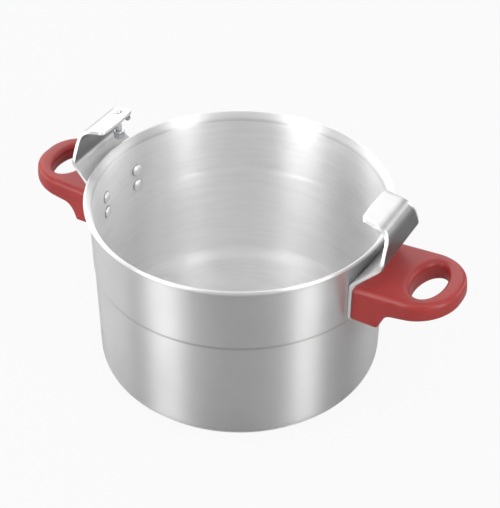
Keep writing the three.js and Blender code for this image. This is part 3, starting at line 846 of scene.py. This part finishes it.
def sheet_mesh(lines, thickness):
    """A closed sheet of even thickness about a middle surface given as lines of points."""
    grid = [[Vector(point) for point in line] for line in lines]
    last, rows = len(grid) - 1, len(grid[0])

    def normal(i, j):
        across = grid[min(i + 1, last)][j] - grid[max(i - 1, 0)][j]
        along = grid[i][min(j + 1, rows - 1)] - grid[i][max(j - 1, 0)]
        return across.cross(along).normalized()

    shift = [[normal(i, j) * (thickness / 2) for j in range(rows)] for i in range(last + 1)]
    points = [grid[i][j] + shift[i][j] for i in range(last + 1) for j in range(rows)]
    points += [grid[i][j] - shift[i][j] for i in range(last + 1) for j in range(rows)]
    under = (last + 1) * rows
    faces = []
    for i in range(last):
        for j in range(rows - 1):
            face = (i * rows + j, i * rows + j + 1, (i + 1) * rows + j + 1, (i + 1) * rows + j)
            faces.append(face)
            faces.append(tuple(under + corner for corner in reversed(face)))
    border = [i * rows for i in range(last + 1)]
    border += [last * rows + j for j in range(1, rows)]
    border += [i * rows + rows - 1 for i in reversed(range(last))]
    border += list(reversed(range(1, rows - 1)))
    for first, second in zip(border, border[1:] + border[:1]):
        faces.append((first, second, under + second, under + first))
    return welded(mesh_of("sheet", points, faces))


def stop_tab(hook):
    """The strip at the far end of the lip that is turned down beside the pin, drawn on +X."""
    overlap, bend, rounding = 5.0 * MM, 2.0 * MM, 1.6 * MM
    columns = 6
    start = RIM_RADIUS - hook.lip_overhang + hook.lip_corner / 2
    far = -hook.lip_width / 2
    end = lip_height(hook, start + hook.tab_width) + hook.sheet / 2 - hook.tab_drop
    lines = []
    for i in range(columns + 1):
        t = 2 * i / columns - 1
        x = start + hook.tab_width * (t + 1) / 2
        level = lip_height(hook, x)
        line = rounded([
            ((far + overlap, level), 0.0),
            ((far, level), bend),
            ((far, end + rounding * abs(t) ** 3), 0.0),
        ], 6, (2, 5))
        lines.append([(x, y, z) for y, z in line])
    return sheet_mesh(lines, hook.sheet * 0.9)


def pin_hole(hook, fixing):
    """The cutter for the pin's hole in the lip, drawn on +X."""
    play, reach = 0.4 * MM, 5.0 * MM
    level = lip_height(hook, -LOCK_MIDDLE.x)
    spot = Matrix.Translation((-LOCK_MIDDLE.x, -LOCK_MIDDLE.y, 0.0))
    return rod(fixing.pin_shank / 2 + play, level - reach, level + reach, SMALL_SEGMENTS, spot)


class COOKER_OT_hooks(bpy.types.Operator):
    """Bends both lid hooks from sheet"""

    bl_idname = "cooker.hooks"
    bl_label = "Lid hooks"

    def execute(self, context):
        scene = context.scene
        hook, pot = scene.cooker_hook, scene.cooker_pot
        finish = polished_steel(scene.cooker_finish, hook, pot)
        for side, turn in SIDES.items():
            mesh = sheet_mesh(hook_sheet(hook, pot), hook.sheet)
            if side == "left":
                hole = pin_hole(hook, scene.cooker_fixing)
                mesh = cleaned(cut(mesh, [("UNION", stop_tab(hook)), ("DIFFERENCE", hole)]))
            mesh.transform(Matrix.Rotation(turn, 4, "Z"))
            holder = holder_of("hook", mesh)
            edge = holder.modifiers.new("edge", "BEVEL")
            edge.width = hook.edge
            edge.segments = 3
            edge.limit_method = "ANGLE"
            edge.angle_limit = math.radians(50.0)
            mesh = smooth_shaded(paint(evaluated(holder), finish), math.radians(35.0))
            place(mesh, f"lid_hook_{side}", "cooker", "hook_steel", f"hook_{side}")
        return {"FINISHED"}


# Handles


def grip_outline(handle, root, tip):
    """The grip's outline, seen from above, on +X."""
    half = HANDLE_HIGH.y
    turn_x = tip - handle.end_radius
    turn_y = half - handle.end_radius
    outline = [(root, -half)]
    outline += arc((turn_x, -turn_y), handle.end_radius, -90.0, 0.0, 22)
    outline += arc((turn_x, turn_y), handle.end_radius, 0.0, 90.0, 22)
    return outline + [(root, half)]


def finger_plug(handle, tip):
    """The oval cut out for the fingers, wider at both faces so that the hole's edges come out round."""
    middle = tip - handle.bar - handle.hole_width / 2
    half = handle.grip / 2
    past = 1.0 * MM
    section = [(height - half, handle.hole_edge - width) for width, height in arc(
        (0.0, handle.hole_edge), handle.hole_edge, -90.0, 0.0, 10)]
    section = [(-half - past, handle.hole_edge)] + section
    section += [(-height, wider) for height, wider in reversed(section)]
    count = 64
    turns = [math.tau * i / count for i in range(count)]
    rings = []
    for height, wider in section:
        width, depth = handle.hole_length / 2 + wider, handle.hole_width / 2 + wider
        rings.append([(middle + depth * math.cos(a), width * math.sin(a), height) for a in turns])
    return outward(skin("plug", rings))


def rounded_slab(outline, low, high, edge):
    """A closed outline in plan as a slab with rounded edges."""
    form = bpy.data.curves.new("slab", "CURVE")
    form.dimensions = "2D"
    form.fill_mode = "BOTH"
    form.extrude = (high - low) / 2 - edge
    form.bevel_depth = edge
    form.bevel_resolution = 5
    form.offset = -edge
    spline = form.splines.new("POLY")
    spline.points.add(len(outline) - 1)
    for point, (x, y) in zip(spline.points, outline):
        point.co = (x, y, 0.0, 1.0)
    spline.use_cyclic_u = True
    mesh = welded(evaluated(holder_of("slab", form)))
    mesh.transform(Matrix.Translation((0.0, 0.0, (low + high) / 2)))
    return mesh


def handle_grip(handle, face, top):
    """The loop of a handle, which rises and gets thinner towards its tip, with its finger hole."""
    tip = face + handle.reach
    pivot = face + handle.pivot
    half = handle.grip / 2
    grip = rounded_slab(grip_outline(handle, face - handle.base_depth, tip), -half, half, handle.edge)
    grip = cut(grip, [("DIFFERENCE", finger_plug(handle, tip))])
    thinning = (handle.tip / handle.grip - 1.0) / (tip - pivot)
    for vertex in grip.vertices:
        vertex.co.z *= 1.0 + thinning * (vertex.co.x - pivot)
    rise = Matrix.Rotation(-handle.tilt, 4, "Y")
    grip.transform(
        Matrix.Translation((pivot, 0.0, top - half)) @ rise @ Matrix.Translation((-pivot, 0.0, 0.0)))
    return grip


def handle_base(handle, face, top):
    """The block behind the grip, with a hollow sweep from its foot out to the grip."""
    start, end = face - handle.base_depth, face + handle.base_depth
    foot, grip_low = HANDLE_LOW.z, top - handle.grip
    foot_edge, overlap = 0.5 * MM, 2.0 * MM
    sweep_end = end + handle.base_sweep
    side_view = [(start, foot), (end, foot)]
    side_view += curve(
        (end, foot + foot_edge), (end + handle.base_sweep / 3, grip_low),
        (sweep_end, grip_low + overlap), 10)
    side_view += [(sweep_end, top - handle.edge), (start, top - handle.edge)]
    base = rounded_slab(side_view, -HANDLE_HIGH.y, HANDLE_HIGH.y, handle.base_edge)
    base.transform(Matrix.Rotation(math.pi / 2, 4, "X"))
    return base


def handle_pockets(fixing, face):
    """Cutters for the rivets' tails and the inserts in the back of a handle."""
    along_x = Matrix.Rotation(math.pi / 2, 4, "Y")
    start, tail_room, sides = face - 5.0 * MM, 2.0 * MM, 24
    rivet_turn = rivet_angle()
    pockets = []
    for height in rivet_rows():
        for turn in (-rivet_turn, rivet_turn):
            spot = Matrix.Translation((0.0, 0.0, height)) @ Matrix.Rotation(turn, 4, "Z") @ along_x
            pockets.append(rod(fixing.rivet_tail / 2 + 2 * GAP, start, face + tail_room, sides, spot))
    insert_radius = (INSERT_HIGH.z - INSERT_LOW.z) / 2
    screw_y, screw_z = screw_spot()
    for y in (-screw_y, screw_y):
        spot = Matrix.Translation((0.0, y, screw_z)) @ along_x
        pockets.append(rod(insert_radius + GAP, start, SCREW_HIGH.x + GAP, sides, spot))
    return pockets


def handle_mesh(handle, fixing, pot, hook):
    """One handle on +X: a rounded loop, a swept base and the pockets behind it."""
    face = RIM_RADIUS - pot.flare + hook.sheet + 2 * GAP
    top = HOOK_LOW.z + hook.plate_height - handle.gap
    room = rod(face, 0.0, POT_HEIGHT, POT_SEGMENTS)
    steps = [("UNION", handle_base(handle, face, top))]
    steps += [("DIFFERENCE", cutter) for cutter in (room, *handle_pockets(fixing, face))]
    holder = holder_of("moulding", cut(handle_grip(handle, face, top), steps))
    even = holder.modifiers.new("even", "REMESH")
    even.mode = "VOXEL"
    even.voxel_size = handle.grain
    soft = holder.modifiers.new("soft", "SMOOTH")
    soft.factor = 0.5
    soft.iterations = handle.smoothing
    return evaluated(holder)


class COOKER_OT_handles(bpy.types.Operator):
    """Moulds both loop handles"""

    bl_idname = "cooker.handles"
    bl_label = "Handles"

    def execute(self, context):
        scene = context.scene
        finish = moulded_red(scene.cooker_finish)
        mesh = handle_mesh(scene.cooker_handle, scene.cooker_fixing, scene.cooker_pot, scene.cooker_hook)
        for side, turn in SIDES.items():
            copy = mesh.copy()
            copy.transform(Matrix.Rotation(turn, 4, "Z"))
            copy.shade_smooth()
            place(paint(copy, finish), f"loop_handle_{side}", "cooker", "handle_red", f"handle_{side}")
        return {"FINISHED"}


# Rivets, screws and inserts


def rivet_rows():
    """Heights of the lower and the upper row of rivets."""
    return (RIVET_LOW.z + RIVET_HIGH.z) / 2, (UPPER_RIVET_LOW.z + UPPER_RIVET_HIGH.z) / 2


def rivet_angle():
    """Turn of a rivet about the pot, from the middle of its side."""
    return math.atan2((RIVET_LOW.y + RIVET_HIGH.y) / 2, (RIVET_LOW.x + RIVET_HIGH.x) / 2)


def screw_spot():
    """Y and Z of a handle screw's axis."""
    return (SCREW_LOW.y + SCREW_HIGH.y) / 2, (SCREW_LOW.z + SCREW_HIGH.z) / 2


def rivet_profile(fixing, pot, hook):
    """A rivet from its domed head, inside the pot, out to its tail behind the plate."""
    outer_wall = RIM_RADIUS - pot.flare
    seat = outer_wall - pot.wall
    crown = seat - fixing.rivet_rise
    tail = outer_wall + hook.sheet + 2 * GAP
    tail_edge, tail_end, chamfer = tail + 1.0 * MM, tail + 1.4 * MM, 0.4 * MM
    head, shank, tail_radius = fixing.rivet_head / 2, fixing.rivet_shank / 2, fixing.rivet_tail / 2
    rim = 0.5 * MM
    points = curve((0.0, crown), (head * 0.7, crown), (head, seat - rim), 12)
    points += arc((head - rim * 0.5, seat - rim * 0.5), rim * 0.5, 0.0, 90.0, 4)
    points += [(shank, seat), (shank, tail), (tail_radius, tail), (tail_radius, tail_edge)]
    points += [(tail_radius - chamfer, tail_end), (0.0, tail_end)]
    return points


def thread_rings(shank, depth, start, count, pitch):
    """Rings along a shank that stand for its thread."""
    points = []
    for i in range(count):
        z = start + i * pitch
        points += [(shank - depth, z), (shank, z + 0.35 * pitch), (shank, z + 0.5 * pitch)]
    return points


def screw_profile(fixing):
    """A countersunk screw from its head out to its tip, with rings for its thread."""
    start, end = SCREW_LOW.x, SCREW_HIGH.x
    head = (SCREW_HIGH.z - SCREW_LOW.z) / 2
    shank = fixing.screw_shank / 2
    neck = start + fixing.screw_head
    depth, head_edge, lead = 0.4 * MM, 0.3 * MM, 0.5 * MM
    socket_floor, socket, socket_depth = 1.1 * MM, 1.3 * MM, 0.5 * MM
    points = [(0.0, start + socket_depth), (socket_floor, start + socket_depth), (socket, start)]
    points += [(head, start), (head, start + head_edge), (shank - depth, neck)]
    turns = int((end - neck - 2 * lead) / fixing.thread)
    points += thread_rings(shank, depth, neck + lead, turns, fixing.thread)
    points += [(shank - depth, end - depth), (0.0, end)]
    return points


def insert_profile(fixing):
    """A threaded insert as a closed ring in section, with grip grooves outside."""
    start, end = INSERT_LOW.x, INSERT_HIGH.x
    outer = (INSERT_HIGH.z - INSERT_LOW.z) / 2
    bore = fixing.screw_shank / 2 + GAP
    edge, groove, groove_floor = 0.4 * MM, 0.6 * MM, 0.2 * MM
    grooves = 3
    points = [(bore, start), (outer - edge, start), (outer, start + edge)]
    for i in range(1, grooves + 1):
        z = start + (end - start) * i / (grooves + 1)
        points += [(outer, z - groove), (outer - groove, z - groove_floor)]
        points += [(outer - groove, z + groove_floor), (outer, z + groove)]
    points += [(outer, end - edge), (outer - edge, end), (bore, end), (bore, start)]
    return points


def nodes_of(kind, *rows):
    """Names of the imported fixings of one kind, row by row on each side."""
    return [f"{kind}_{side}{row}_{column}" for side in SIDES for row in rows or ("",) for column in "ab"]


class COOKER_OT_fixings(bpy.types.Operator):
    """Sets the rivets, and the screws and inserts behind the handles"""

    bl_idname = "cooker.fixings"
    bl_label = "Rivets, screws and inserts"

    def execute(self, context):
        scene = context.scene
        fixing, finish, pot = scene.cooker_fixing, scene.cooker_finish, scene.cooker_pot
        low_row, high_row = rivet_rows()
        screw_y, screw_z = screw_spot()
        seat = RIM_RADIUS - pot.flare - pot.wall
        # Painted shade: a dark ring round the edge of each rivet head, beside the wall.
        crease = (seat - 1.5 * MM, seat - 0.3 * MM)
        screws = {"Rows": 1, "Lowest Row": screw_z, "Row Pitch": 0.0, "Column Angle": 0.0,
                  "Column Offset": screw_y}
        rivets = {"Rows": 2, "Lowest Row": low_row, "Row Pitch": high_row - low_row,
                  "Column Angle": rivet_angle(), "Column Offset": 0.0}
        groups = [
            ("rivets", rivet_profile(fixing, pot, scene.cooker_hook), rivets,
             small_metal("rivet aluminium", finish.rivet, 0.42, crease), "rivet_aluminium",
             nodes_of("rivet", "_upper", "_lower")),
            ("handle_screws", screw_profile(fixing), screws,
             small_metal("zinc screw", finish.zinc, 0.32), "zinc_steel", nodes_of("screw")),
            ("handle_inserts", insert_profile(fixing), screws,
             small_metal("insert brass", finish.brass, 0.3), "insert_brass", nodes_of("insert")),
        ]
        for name, profile, spacing, material, slot, nodes in groups:
            mesh = grown(profile, "Fixings in rows", {
                "Segments": FIXING_SEGMENTS, "Sharp Angle": SHARP, "Finish": material, **spacing})
            place(mesh, name, "cooker", slot, *nodes)
        return {"FINISHED"}


# Lock


def pin_profile(fixing, hook):
    """The lock pin from its tip up to its low head."""
    shank = fixing.pin_shank / 2
    tip, top = PIN_LOW.z, PIN_HIGH.z
    head = (PIN_HIGH.x - PIN_LOW.x) / 2
    thread_end = WASHER_LOW.z
    seat = lip_height(hook, -LOCK_MIDDLE.x - head) + hook.sheet / 2
    tip_flat, tip_edge, tip_height = shank - 0.8 * MM, shank - 0.35 * MM, 0.5 * MM
    thread_start, plain_ends = tip + 0.7 * MM, 1.0 * MM
    depth, run_out, head_edge = 0.3 * MM, 0.4 * MM, 0.2 * MM
    points = [(0.0, tip), (tip_flat, tip), (tip_edge, tip + tip_height)]
    turns = int((thread_end - tip - plain_ends) / fixing.thread)
    points += thread_rings(shank, depth, thread_start, turns, fixing.thread)
    points += [(shank - depth, thread_end), (shank, thread_end + run_out), (shank, seat), (head, seat)]
    points += curve((head, seat + head_edge), (head * 0.8, top), (0.0, top), 10)
    return points


def nut_mesh(bore):
    """A six-sided nut with chamfered corners and a bore."""
    corner = max(NUT_HIGH.x - NUT_LOW.x, NUT_HIGH.y - NUT_LOW.y) / 2
    flat = corner * math.cos(math.pi / 6)
    low, high = NUT_LOW.z, NUT_HIGH.z
    past = 1.0 * MM
    chamfer = (corner - flat) * 0.9
    face, widest = flat + 0.1 * MM, corner + 0.2 * MM
    profile = [(0.0, low - past), (face, low - past), (face, low), (widest, low + chamfer)]
    profile += [(widest, high - chamfer), (face, high), (face, high + past), (0.0, high + past)]
    blank = outward(grown(profile, "Turned form", {"Segments": SMALL_SEGMENTS, "Sharp Angle": SHARP}))
    blank.transform(Matrix.Rotation(math.pi / SMALL_SEGMENTS, 4, "Z"))
    solid = cut(rod(corner, low, high, 6), [("INTERSECT", blank)])
    return cleaned(cut(solid, [("DIFFERENCE", rod(bore, low - past, high + past, SMALL_SEGMENTS))]))


def washer_profile(bore):
    """The washer as a closed ring in section, down to the nut."""
    outer = (WASHER_HIGH.x - WASHER_LOW.x) / 2
    low, high = NUT_HIGH.z, WASHER_HIGH.z
    edge = 0.25 * MM
    points = [(bore, low), (outer - edge, low), (outer, low + edge)]
    return points + [(outer, high - edge), (outer - edge, high), (bore, high), (bore, low)]


class COOKER_OT_lock(bpy.types.Operator):
    """Makes the lock pin with its nut and washer"""

    bl_idname = "cooker.lock"
    bl_label = "Lock pin"

    def execute(self, context):
        scene = context.scene
        fixing, finish = scene.cooker_fixing, scene.cooker_finish
        bore = fixing.pin_shank / 2 + 0.05 * MM
        bright = small_metal("bright pin", finish.rivet, 0.36)
        zinc = small_metal("zinc nut", finish.zinc, 0.3)
        pin = turned(pin_profile(fixing, scene.cooker_hook), FIXING_SEGMENTS, bright)
        nut = smooth_shaded(paint(nut_mesh(bore), zinc), math.radians(25.0))
        washer = turned(washer_profile(bore), SMALL_SEGMENTS, zinc)
        for mesh in (pin, nut, washer):
            mesh.transform(Matrix.Translation((LOCK_MIDDLE.x, LOCK_MIDDLE.y, 0.0)))
        place(pin, "lock_pin_turned", "lock", "hook_steel", "lock_pin")
        place(nut, "lock_nut_hex", "lock", "zinc_steel", "lock_nut")
        place(washer, "lock_washer_ring", "lock", "zinc_steel", "lock_washer")
        return {"FINISHED"}


# Stage


# Turn from the camera's azimuth, elevation, distance, width, height and surface brightness of each lamp
LAMPS = {
    "back softbox": (178.0, 38.0, 1.8, 1.9, 1.3, 1.6),
    "overhead softbox": (0.0, 76.0, 1.5, 2.0, 1.8, 0.85),
    "left softbox": (-51.5, 26.0, 1.3, 0.54, 1.2, 4.4),
    "right softbox": (45.0, 26.0, 1.3, 0.39, 1.2, 5.0),
    "far left softbox": (-98.0, 14.0, 1.5, 1.1, 0.7, 2.4),
    "back left softbox": (-138.0, 36.0, 1.6, 0.9, 0.9, 1.5),
    "far right softbox": (107.0, 23.0, 1.5, 0.8, 0.8, 1.8),
}
LAMP_AIM = Vector((0.0, 0.0, 80.0 * MM))


def softbox(name, spot, width, height, brightness):
    """A rectangular lamp of a given surface brightness, aimed at the pot."""
    lamp = bpy.data.lights.new(name, "AREA")
    lamp.shape = "RECTANGLE"
    lamp.size = width
    lamp.size_y = height
    lamp.energy = brightness * math.pi * width * height
    holder = holder_of(name, lamp)
    holder.visible_camera = False
    holder.location = spot
    holder.rotation_euler = (LAMP_AIM - spot).to_track_quat("-Z", "Y").to_euler()


def around(azimuth, elevation, distance):
    """A point at a camera-style azimuth and elevation, in degrees, from the pot's axis."""
    a, e = math.radians(azimuth), math.radians(elevation)
    level = distance * math.cos(e)
    return Vector((level * math.sin(a), -level * math.cos(a), distance * math.sin(e)))


def shown_white(graph, mirrored_share):
    """Where floor and world look plain white: straight on, through glass and, for a share, in mirrors."""
    path = graph.add("ShaderNodeLightPath")
    mirrored = graph.math(
        "MAXIMUM", path.out("Is Glossy Ray") * mirrored_share, path.out("Is Transmission Ray"))
    return graph.math("MAXIMUM", path.out("Is Camera Ray"), mirrored)


def pale_floor(stage):
    """A wide floor that looks nearly white and keeps a soft shadow."""
    finish = Finish("pale floor")
    grain = finish.noise(finish.place, 3.0, 2.0)
    colour = finish.shades(finish.span(grain, 0.3, 0.7), stage.floor, 0.995, 1.005)
    matt = finish.add("ShaderNodeBsdfDiffuse", {}, {"Color": colour})
    plain = finish.add("ShaderNodeEmission", {}, {"Color": WHITE, "Strength": 1.0})
    seen = shown_white(finish, finish.span(finish.radius(), 0.5, 1.8))
    mixed = finish.add("ShaderNodeMixShader", {}, {0: seen * stage.white, 1: matt, 2: plain})
    finish.add("ShaderNodeOutputMaterial", {}, {"Surface": mixed})
    reach, drop = 30.0, 0.2 * MM
    corners = [(x * reach, y * reach, -drop) for x, y in ((-1, -1), (1, -1), (1, 1), (-1, 1))]
    return holder_of("floor", paint(mesh_of("floor", corners, [(0, 1, 2, 3)]), finish.material))


def soft_room(stage):
    """A dim, even room that looks white straight on and low down in mirrors."""
    world = bpy.data.worlds.new("soft room")
    world.use_nodes = True
    world.node_tree.nodes.clear()
    room = Graph(world.node_tree)
    way = room.add("ShaderNodeTexCoord").out("Generated")
    rise = room.add("ShaderNodeSeparateXYZ", {}, {0: way}).out("Z")
    seen = shown_white(room, room.span(rise, 0.25, 0.05))
    dim = room.add("ShaderNodeBackground", {}, {"Color": WHITE, "Strength": stage.room})
    pale = room.add("ShaderNodeBackground", {}, {"Color": WHITE, "Strength": 1.0})
    mixed = room.add("ShaderNodeMixShader", {}, {0: seen, 1: dim, 2: pale})
    room.add("ShaderNodeOutputWorld", {}, {"Surface": mixed})
    return world


def aimed_camera(stage):
    """The camera at the photograph's viewing angle."""
    camera = bpy.data.cameras.new("camera")
    camera.sensor_width = 36.0
    camera.lens = stage.lens
    camera.shift_x = stage.shift_x
    camera.shift_y = stage.shift_y
    holder = holder_of("camera", camera)
    back = around(math.degrees(stage.azimuth), math.degrees(stage.elevation), 1.0)
    holder.location = Vector((0.0, 0.0, stage.aim)) + back * stage.distance
    holder.rotation_mode = "QUATERNION"
    holder.rotation_quaternion = (-back).to_track_quat("-Z", "Y")
    return holder


class COOKER_OT_stage(bpy.types.Operator):
    """Sets the floor, the room, the lamps and the camera"""

    bl_idname = "cooker.stage"
    bl_label = "Stage"

    def execute(self, context):
        scene = context.scene
        stage = scene.cooker_stage
        scene.view_settings.view_transform = "Standard"
        pale_floor(stage)
        scene.world = soft_room(stage)
        view = math.degrees(stage.azimuth)
        for name, (turn, elevation, distance, width, height, brightness) in LAMPS.items():
            softbox(name, around(view + turn, elevation, distance), width, height, brightness)
        scene.camera = aimed_camera(stage)
        return {"FINISHED"}


class COOKER_PT_panel(bpy.types.Panel):
    """Lists the pieces of the pot and their settings"""

    bl_label = "Pressure cooker pot"
    bl_idname = "COOKER_PT_panel"
    bl_space_type = "VIEW_3D"
    bl_region_type = "UI"
    bl_category = "Cooker"

    def draw(self, context):
        for operator in OPERATORS:
            self.layout.operator(operator.bl_idname)
        for name in SETTINGS:
            group = getattr(context.scene, name)
            box = self.layout.box()
            for key in group.bl_rna.properties.keys():
                if key not in ("name", "rna_type"):
                    box.prop(group, key)


SETTINGS = {
    "cooker_pot": PotSettings,
    "cooker_hook": HookSettings,
    "cooker_handle": HandleSettings,
    "cooker_fixing": FixingSettings,
    "cooker_finish": FinishSettings,
    "cooker_stage": StageSettings,
}
OPERATORS = (
    COOKER_OT_stage, COOKER_OT_pot, COOKER_OT_hooks, COOKER_OT_handles, COOKER_OT_fixings, COOKER_OT_lock)


def register():
    for group in SETTINGS.values():
        bpy.utils.register_class(group)
    for name, group in SETTINGS.items():
        setattr(bpy.types.Scene, name, bpy.props.PointerProperty(type=group))
    for operator in OPERATORS:
        bpy.utils.register_class(operator)
    bpy.utils.register_class(COOKER_PT_panel)


def unregister():
    bpy.utils.unregister_class(COOKER_PT_panel)
    for operator in reversed(OPERATORS):
        bpy.utils.unregister_class(operator)
    for name in SETTINGS:
        delattr(bpy.types.Scene, name)
    for group in SETTINGS.values():
        bpy.utils.unregister_class(group)


def main():
    register()
    bpy.ops.cooker.stage()
    bpy.ops.cooker.pot()
    bpy.ops.cooker.hooks()
    bpy.ops.cooker.handles()
    bpy.ops.cooker.fixings()
    bpy.ops.cooker.lock()


if __name__ == "__main__":
    main()
